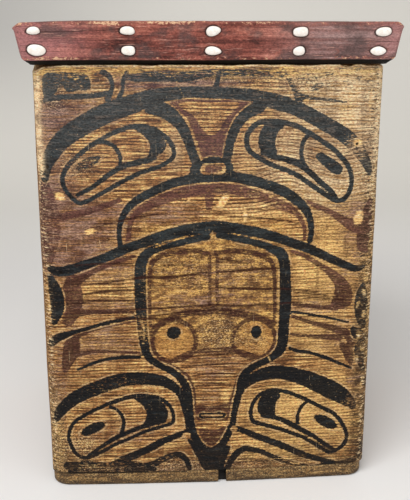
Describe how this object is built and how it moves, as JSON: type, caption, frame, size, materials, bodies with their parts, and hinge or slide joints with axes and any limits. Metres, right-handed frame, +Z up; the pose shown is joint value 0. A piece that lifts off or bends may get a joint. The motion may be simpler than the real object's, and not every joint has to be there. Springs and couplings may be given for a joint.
{
  "type": "bentwood box",
  "caption": "Tall square bentwood cedar box with a painted formline front, a pegged base board and a thick, flared lift-off lid inlaid with white shell opercula.",
  "frame": {"origin": "middle of the underside of the base board, on the surface that the box stands on", "axes": "+Z up, the painted front faces -Y, +X to the right as seen from the front"},
  "size_m": [0.422, 0.3733, 0.556],
  "materials": {
    "cedar_wall": "matte",
    "cedar_base": "matte",
    "peg_wood": "matte",
    "lid_paint": "satin",
    "shell": "satin"
  },
  "bodies": {
    "box": {"bent_side_plank": "cedar_wall", "base_board": "cedar_base", "corner_pegs": "peg_wood", "base_pegs_front": "peg_wood", "base_pegs_back": "peg_wood", "base_pegs_left": "peg_wood", "base_pegs_right": "peg_wood"},
    "lid": {"lid": "lid_paint", "operculum_upper_1": "shell", "operculum_upper_2": "shell", "operculum_upper_3": "shell", "operculum_upper_4": "shell", "operculum_upper_5": "shell", "operculum_lower_1": "shell", "operculum_lower_2": "shell", "operculum_lower_3": "shell", "operculum_lower_4": "shell", "operculum_lower_5": "shell"}
  },
  "joints": [
    {"name": "lid_lift", "type": "slide", "parent": "box", "child": "lid", "axis": [0, 0, 1], "range_m": [0, 0.3]}
  ]
}
